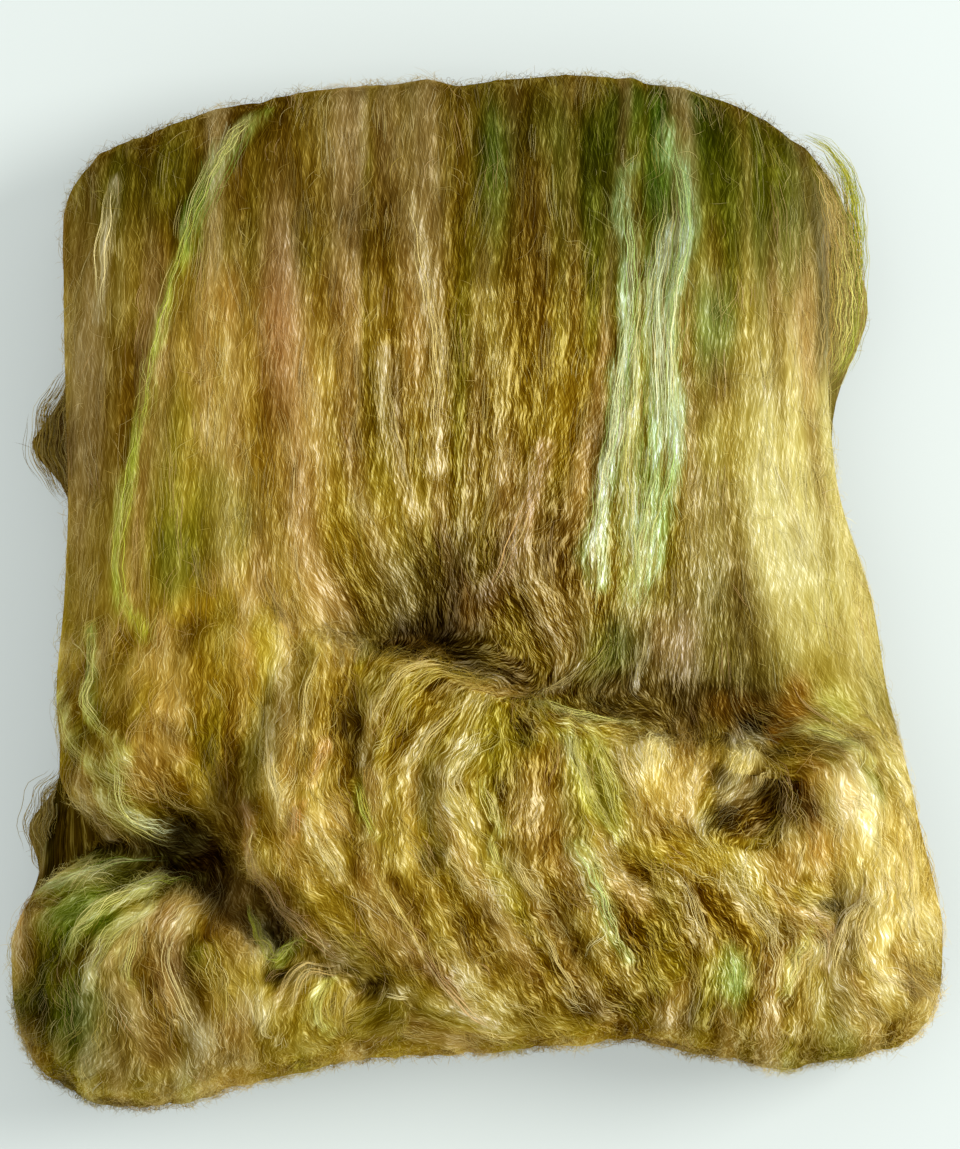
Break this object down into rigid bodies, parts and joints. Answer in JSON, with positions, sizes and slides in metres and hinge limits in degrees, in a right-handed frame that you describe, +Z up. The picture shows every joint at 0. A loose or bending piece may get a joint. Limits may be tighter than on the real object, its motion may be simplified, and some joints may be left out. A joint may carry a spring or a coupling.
{
  "type": "carded silk batt",
  "caption": "Lofty carded silk fibre batt wound flat, with a tucked crease across it and a raised near roll, lying flat to be stored, shown or spun from.",
  "frame": {"origin": "on the table under the middle of the batt's bounding box", "axes": "+X to the right and +Y towards the far folded edge as the batt is seen in the picture, +Z up from the table"},
  "size_m": [0.2694, 0.298, 0.0889],
  "materials": {
    "fibre": "soft loose fibre with a silky sheen"
  },
  "bodies": {
    "root": {"batt": "fibre"}
  },
  "joints": []
}
